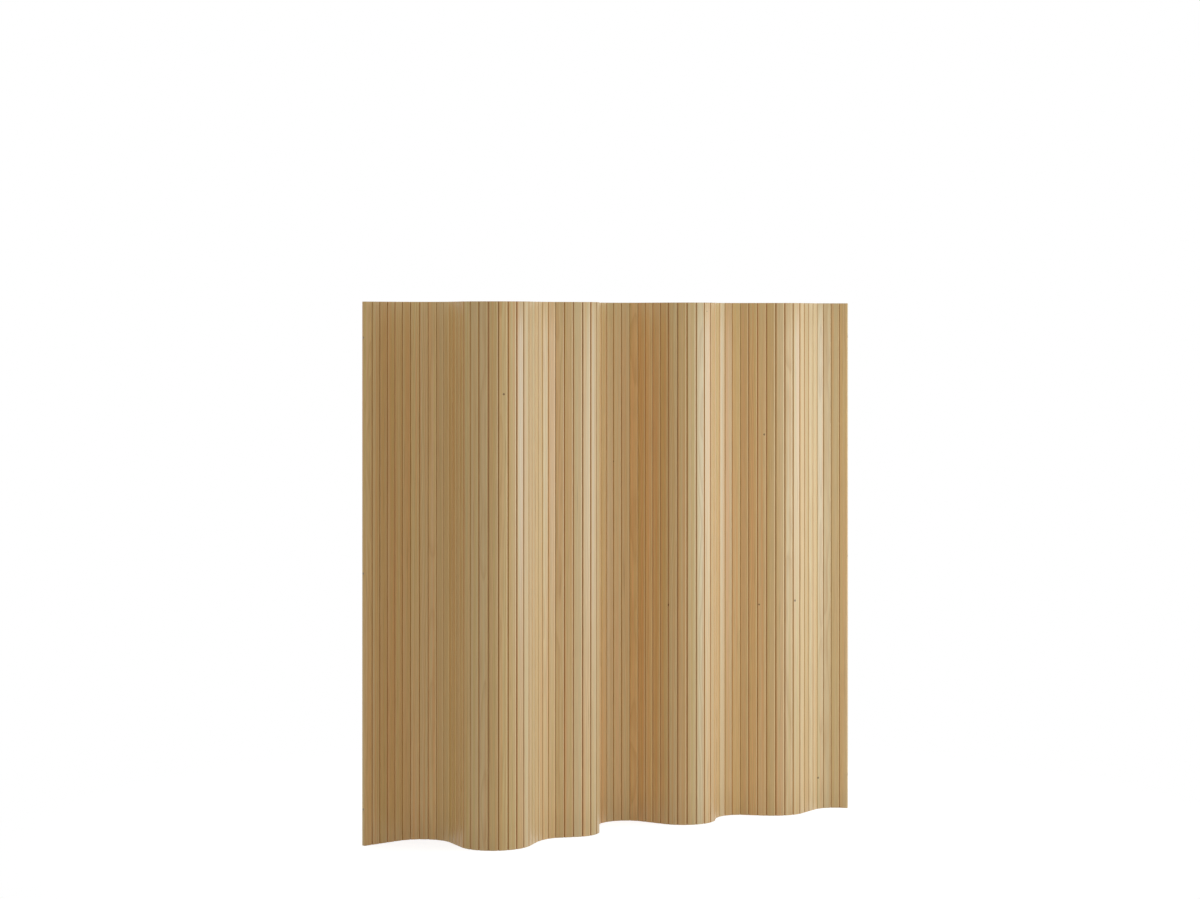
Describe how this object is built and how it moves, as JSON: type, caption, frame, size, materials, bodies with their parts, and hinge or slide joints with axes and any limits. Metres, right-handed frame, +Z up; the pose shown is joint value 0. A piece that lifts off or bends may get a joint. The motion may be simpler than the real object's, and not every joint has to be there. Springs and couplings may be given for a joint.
{
  "type": "flexible slatted screen",
  "caption": "Free-standing room screen of upright pine slats with bead-and-cove edges, strung on steel wires so that it bends into waves and stands by itself.",
  "frame": {"origin": "on the floor, at the middle of the standing screen's box", "axes": "+X from the left end to the right end as seen from the front, +Y away from the viewer, +Z up"},
  "size_m": [1.5224, 0.312, 1.5],
  "materials": {
    "pine": "clear satin lacquer",
    "wire": "drawn strand",
    "ferrule": "crimped sleeve"
  },
  "bodies": {
    "left_end_run": {"left_end_slat": "pine", "slats_02_to_05": "pine", "left_ferrules": "ferrule"},
    "slat_06": {"slat_06": "pine"},
    "slat_07": {"slat_07": "pine"},
    "slat_08": {"slat_08": "pine"},
    "slat_09": {"slat_09": "pine"},
    "slat_10": {"slat_10": "pine"},
    "slat_11": {"slat_11": "pine"},
    "run_2": {"slats_12_to_15": "pine"},
    "slat_16": {"slat_16": "pine"},
    "slat_17": {"slat_17": "pine"},
    "slat_18": {"slat_18": "pine"},
    "slat_19": {"slat_19": "pine"},
    "slat_20": {"slat_20": "pine"},
    "slat_21": {"slat_21": "pine"},
    "slat_22": {"slat_22": "pine"},
    "slat_23": {"slat_23": "pine"},
    "run_3": {"slats_24_to_25": "pine"},
    "slat_26": {"slat_26": "pine"},
    "slat_27": {"slat_27": "pine"},
    "slat_28": {"slat_28": "pine"},
    "slat_29": {"slat_29": "pine"},
    "run_4": {"slats_30_to_32": "pine"},
    "slat_33": {"slat_33": "pine"},
    "slat_34": {"slat_34": "pine"},
    "slat_35": {"slat_35": "pine"},
    "run_5": {"slats_36_to_39": "pine", "tension_wires": "wire"},
    "slat_40": {"slat_40": "pine"},
    "slat_41": {"slat_41": "pine"},
    "slat_42": {"slat_42": "pine"},
    "slat_43": {"slat_43": "pine"},
    "slat_44": {"slat_44": "pine"},
    "slat_45": {"slat_45": "pine"},
    "slat_46": {"slat_46": "pine"},
    "run_6": {"slats_47_to_50": "pine"},
    "slat_51": {"slat_51": "pine"},
    "slat_52": {"slat_52": "pine"},
    "slat_53": {"slat_53": "pine"},
    "slat_54": {"slat_54": "pine"},
    "slat_55": {"slat_55": "pine"},
    "slat_56": {"slat_56": "pine"},
    "run_7": {"slats_57_to_58": "pine"},
    "slat_59": {"slat_59": "pine"},
    "slat_60": {"slat_60": "pine"},
    "slat_61": {"slat_61": "pine"},
    "slat_62": {"slat_62": "pine"},
    "run_8": {"slats_63_to_65": "pine"},
    "slat_66": {"slat_66": "pine"},
    "slat_67": {"slat_67": "pine"},
    "slat_68": {"slat_68": "pine"},
    "slat_69": {"slat_69": "pine"},
    "run_9": {"slats_70_to_73": "pine"},
    "slat_74": {"slat_74": "pine"},
    "slat_75": {"slat_75": "pine"},
    "slat_76": {"slat_76": "pine"},
    "right_end_slat": {"right_end_slat": "pine", "right_ferrules": "ferrule"}
  },
  "joints": [
    {"name": "hinge_35_36", "type": "hinge", "parent": "run_5", "child": "slat_35", "pos_m": [-0.08815, -0.00618, 0.75], "axis": [0, 0, -1], "range_deg": [-45, 3], "deforming": ["tension_wires"]},
    {"name": "hinge_39_40", "type": "hinge", "parent": "run_5", "child": "slat_40", "pos_m": [-0.0533, 0.09181, 0.75], "axis": [0, 0, -1], "range_deg": [-37, 11], "deforming": ["tension_wires"]},
    {"name": "hinge_34_35", "type": "hinge", "parent": "slat_35", "child": "slat_34", "pos_m": [-0.10506, -0.02592, 0.75], "axis": [0, 0, -1], "range_deg": [-44.33, 3.67], "deforming": ["tension_wires"]},
    {"name": "hinge_40_41", "type": "hinge", "parent": "slat_40", "child": "slat_41", "pos_m": [-0.0393, 0.11372, 0.75], "axis": [0, 0, -1], "range_deg": [-37.86, 10.14], "deforming": ["tension_wires"]},
    {"name": "hinge_33_34", "type": "hinge", "parent": "slat_34", "child": "slat_33", "pos_m": [-0.12778, -0.03856, 0.75], "axis": [0, 0, -1], "range_deg": [-43.67, 4.33], "deforming": ["tension_wires"]},
    {"name": "hinge_41_42", "type": "hinge", "parent": "slat_41", "child": "slat_42", "pos_m": [-0.02046, 0.13164, 0.75], "axis": [0, 0, -1], "range_deg": [-38.71, 9.29], "deforming": ["tension_wires"]},
    {"name": "hinge_32_33", "type": "hinge", "parent": "slat_33", "child": "run_4", "pos_m": [-0.15343, -0.04282, 0.75], "axis": [0, 0, -1], "range_deg": [-43, 5], "deforming": ["tension_wires"]},
    {"name": "hinge_42_43", "type": "hinge", "parent": "slat_42", "child": "slat_43", "pos_m": [0.00232, 0.14418, 0.75], "axis": [0, 0, -1], "range_deg": [-39.57, 8.43], "deforming": ["tension_wires"]},
    {"name": "hinge_43_44", "type": "hinge", "parent": "slat_43", "child": "slat_44", "pos_m": [0.02762, 0.15016, 0.75], "axis": [0, 0, -1], "range_deg": [-40.43, 7.57], "deforming": ["tension_wires"]},
    {"name": "hinge_44_45", "type": "hinge", "parent": "slat_44", "child": "slat_45", "pos_m": [0.05358, 0.14873, 0.75], "axis": [0, 0, -1], "range_deg": [-41.29, 6.71], "deforming": ["tension_wires"]},
    {"name": "hinge_29_30", "type": "hinge", "parent": "run_4", "child": "slat_29", "pos_m": [-0.23034, -0.02984, 0.75], "axis": [0, 0, 1], "range_deg": [-45, 3], "deforming": ["tension_wires"]},
    {"name": "hinge_45_46", "type": "hinge", "parent": "slat_45", "child": "slat_46", "pos_m": [0.07795, 0.13965, 0.75], "axis": [0, 0, -1], "range_deg": [-42.14, 5.86], "deforming": ["tension_wires"]},
    {"name": "hinge_28_29", "type": "hinge", "parent": "slat_29", "child": "slat_28", "pos_m": [-0.25583, -0.03499, 0.75], "axis": [0, 0, 1], "range_deg": [-40.38, 7.62], "deforming": ["tension_wires"]},
    {"name": "hinge_46_47", "type": "hinge", "parent": "slat_46", "child": "run_6", "pos_m": [0.09827, 0.12344, 0.75], "axis": [0, 0, -1], "range_deg": [-43, 5], "deforming": ["tension_wires"]},
    {"name": "hinge_27_28", "type": "hinge", "parent": "slat_28", "child": "slat_27", "pos_m": [-0.27883, -0.04711, 0.75], "axis": [0, 0, 1], "range_deg": [-35.75, 12.25], "deforming": ["tension_wires"]},
    {"name": "hinge_26_27", "type": "hinge", "parent": "slat_27", "child": "slat_26", "pos_m": [-0.29888, -0.06367, 0.75], "axis": [0, 0, 1], "range_deg": [-31.12, 16.88], "deforming": ["tension_wires"]},
    {"name": "hinge_25_26", "type": "hinge", "parent": "slat_26", "child": "run_3", "pos_m": [-0.31672, -0.08258, 0.75], "axis": [0, 0, 1], "range_deg": [-26.5, 21.5], "deforming": ["tension_wires"]},
    {"name": "hinge_50_51", "type": "hinge", "parent": "run_6", "child": "slat_51", "pos_m": [0.15403, 0.03565, 0.75], "axis": [0, 0, 1], "range_deg": [-39, 9], "deforming": ["tension_wires"]},
    {"name": "hinge_23_24", "type": "hinge", "parent": "run_3", "child": "slat_23", "pos_m": [-0.35071, -0.12193, 0.75], "axis": [0, 0, -1], "range_deg": [-37.5, 10.5], "deforming": ["tension_wires"]},
    {"name": "hinge_51_52", "type": "hinge", "parent": "slat_51", "child": "slat_52", "pos_m": [0.17317, 0.01806, 0.75], "axis": [0, 0, 1], "range_deg": [-39.5, 8.5], "deforming": ["tension_wires"]},
    {"name": "hinge_22_23", "type": "hinge", "parent": "slat_23", "child": "slat_22", "pos_m": [-0.37184, -0.13709, 0.75], "axis": [0, 0, -1], "range_deg": [-37.94, 10.06], "deforming": ["tension_wires"]},
    {"name": "hinge_52_53", "type": "hinge", "parent": "slat_52", "child": "slat_53", "pos_m": [0.19632, 0.00622, 0.75], "axis": [0, 0, 1], "range_deg": [-40, 8], "deforming": ["tension_wires"]},
    {"name": "hinge_21_22", "type": "hinge", "parent": "slat_22", "child": "slat_21", "pos_m": [-0.39599, -0.14672, 0.75], "axis": [0, 0, -1], "range_deg": [-38.38, 9.62], "deforming": ["tension_wires"]},
    {"name": "hinge_53_54", "type": "hinge", "parent": "slat_53", "child": "slat_54", "pos_m": [0.22184, 0.00122, 0.75], "axis": [0, 0, 1], "range_deg": [-40.5, 7.5], "deforming": ["tension_wires"]},
    {"name": "hinge_20_21", "type": "hinge", "parent": "slat_21", "child": "slat_20", "pos_m": [-0.42177, -0.15005, 0.75], "axis": [0, 0, -1], "range_deg": [-38.81, 9.19], "deforming": ["tension_wires"]},
    {"name": "hinge_54_55", "type": "hinge", "parent": "slat_54", "child": "slat_55", "pos_m": [0.24772, 0.00368, 0.75], "axis": [0, 0, 1], "range_deg": [-41, 7], "deforming": ["tension_wires"]},
    {"name": "hinge_19_20", "type": "hinge", "parent": "slat_20", "child": "slat_19", "pos_m": [-0.44755, -0.14667, 0.75], "axis": [0, 0, -1], "range_deg": [-39.25, 8.75], "deforming": ["tension_wires"]},
    {"name": "hinge_55_56", "type": "hinge", "parent": "slat_55", "child": "slat_56", "pos_m": [0.27176, 0.0136, 0.75], "axis": [0, 0, 1], "range_deg": [-41.5, 6.5], "deforming": ["tension_wires"]},
    {"name": "hinge_18_19", "type": "hinge", "parent": "slat_19", "child": "slat_18", "pos_m": [-0.47154, -0.13664, 0.75], "axis": [0, 0, -1], "range_deg": [-39.69, 8.31], "deforming": ["tension_wires"]},
    {"name": "hinge_56_57", "type": "hinge", "parent": "slat_56", "child": "run_7", "pos_m": [0.2917, 0.03028, 0.75], "axis": [0, 0, 1], "range_deg": [-42, 6], "deforming": ["tension_wires"]},
    {"name": "hinge_17_18", "type": "hinge", "parent": "slat_18", "child": "slat_17", "pos_m": [-0.49192, -0.12049, 0.75], "axis": [0, 0, -1], "range_deg": [-40.12, 7.88], "deforming": ["tension_wires"]},
    {"name": "hinge_16_17", "type": "hinge", "parent": "slat_17", "child": "slat_16", "pos_m": [-0.50701, -0.09932, 0.75], "axis": [0, 0, -1], "range_deg": [-40.56, 7.44], "deforming": ["tension_wires"]},
    {"name": "hinge_58_59", "type": "hinge", "parent": "run_7", "child": "slat_59", "pos_m": [0.31931, 0.07434, 0.75], "axis": [0, 0, -1], "range_deg": [-40.5, 7.5], "deforming": ["tension_wires"]},
    {"name": "hinge_15_16", "type": "hinge", "parent": "slat_16", "child": "run_2", "pos_m": [-0.51544, -0.07473, 0.75], "axis": [0, 0, -1], "range_deg": [-41, 7], "deforming": ["tension_wires"]},
    {"name": "hinge_59_60", "type": "hinge", "parent": "slat_59", "child": "slat_60", "pos_m": [0.33881, 0.09154, 0.75], "axis": [0, 0, -1], "range_deg": [-41.62, 6.38], "deforming": ["tension_wires"]},
    {"name": "hinge_60_61", "type": "hinge", "parent": "slat_60", "child": "slat_61", "pos_m": [0.3626, 0.10203, 0.75], "axis": [0, 0, -1], "range_deg": [-42.75, 5.25], "deforming": ["tension_wires"]},
    {"name": "hinge_61_62", "type": "hinge", "parent": "slat_61", "child": "slat_62", "pos_m": [0.3885, 0.10432, 0.75], "axis": [0, 0, -1], "range_deg": [-43.88, 4.12], "deforming": ["tension_wires"]},
    {"name": "hinge_62_63", "type": "hinge", "parent": "slat_62", "child": "run_8", "pos_m": [0.41363, 0.09767, 0.75], "axis": [0, 0, -1], "range_deg": [-45, 3], "deforming": ["tension_wires"]},
    {"name": "hinge_11_12", "type": "hinge", "parent": "run_2", "child": "slat_11", "pos_m": [-0.51893, 0.02922, 0.75], "axis": [0, 0, 1], "range_deg": [-40, 8], "deforming": ["tension_wires"]},
    {"name": "hinge_10_11", "type": "hinge", "parent": "slat_11", "child": "slat_10", "pos_m": [-0.52693, 0.05395, 0.75], "axis": [0, 0, 1], "range_deg": [-39.67, 8.33], "deforming": ["tension_wires"]},
    {"name": "hinge_09_10", "type": "hinge", "parent": "slat_10", "child": "slat_09", "pos_m": [-0.54131, 0.07561, 0.75], "axis": [0, 0, 1], "range_deg": [-39.33, 8.67], "deforming": ["tension_wires"]},
    {"name": "hinge_65_66", "type": "hinge", "parent": "run_8", "child": "slat_66", "pos_m": [0.47687, 0.05201, 0.75], "axis": [0, 0, 1], "range_deg": [-33, 15], "deforming": ["tension_wires"]},
    {"name": "hinge_08_09", "type": "hinge", "parent": "slat_09", "child": "slat_08", "pos_m": [-0.56091, 0.0927, 0.75], "axis": [0, 0, 1], "range_deg": [-39, 9], "deforming": ["tension_wires"]},
    {"name": "hinge_66_67", "type": "hinge", "parent": "slat_66", "child": "slat_67", "pos_m": [0.50008, 0.04027, 0.75], "axis": [0, 0, 1], "range_deg": [-35.38, 12.62], "deforming": ["tension_wires"]},
    {"name": "hinge_07_08", "type": "hinge", "parent": "slat_08", "child": "slat_07", "pos_m": [-0.58426, 0.10413, 0.75], "axis": [0, 0, 1], "range_deg": [-38.67, 9.33], "deforming": ["tension_wires"]},
    {"name": "hinge_67_68", "type": "hinge", "parent": "slat_67", "child": "slat_68", "pos_m": [0.52514, 0.03335, 0.75], "axis": [0, 0, 1], "range_deg": [-37.75, 10.25], "deforming": ["tension_wires"]},
    {"name": "hinge_06_07", "type": "hinge", "parent": "slat_07", "child": "slat_06", "pos_m": [-0.60975, 0.10927, 0.75], "axis": [0, 0, 1], "range_deg": [-38.33, 9.67], "deforming": ["tension_wires"]},
    {"name": "hinge_68_69", "type": "hinge", "parent": "slat_68", "child": "slat_69", "pos_m": [0.55112, 0.03257, 0.75], "axis": [0, 0, 1], "range_deg": [-40.12, 7.88], "deforming": ["tension_wires"]},
    {"name": "hinge_05_06", "type": "hinge", "parent": "slat_06", "child": "left_end_run", "pos_m": [-0.63572, 0.10795, 0.75], "axis": [0, 0, 1], "range_deg": [-38, 10], "deforming": ["tension_wires"]},
    {"name": "hinge_69_70", "type": "hinge", "parent": "slat_69", "child": "run_9", "pos_m": [0.57631, 0.03905, 0.75], "axis": [0, 0, 1], "range_deg": [-42.5, 5.5], "deforming": ["tension_wires"]},
    {"name": "hinge_73_74", "type": "hinge", "parent": "run_9", "child": "slat_74", "pos_m": [0.6636, 0.09557, 0.75], "axis": [0, 0, -1], "range_deg": [-45, 3], "deforming": ["tension_wires"]},
    {"name": "hinge_74_75", "type": "hinge", "parent": "slat_74", "child": "slat_75", "pos_m": [0.68904, 0.10094, 0.75], "axis": [0, 0, -1], "range_deg": [-43.17, 4.83], "deforming": ["tension_wires"]},
    {"name": "hinge_75_76", "type": "hinge", "parent": "slat_75", "child": "slat_76", "pos_m": [0.71484, 0.09766, 0.75], "axis": [0, 0, -1], "range_deg": [-41.33, 6.67], "deforming": ["tension_wires"]},
    {"name": "hinge_76_77", "type": "hinge", "parent": "slat_76", "child": "right_end_slat", "pos_m": [0.73848, 0.08685, 0.75], "axis": [0, 0, -1], "range_deg": [-39.5, 8.5], "deforming": ["tension_wires"]}
  ]
}
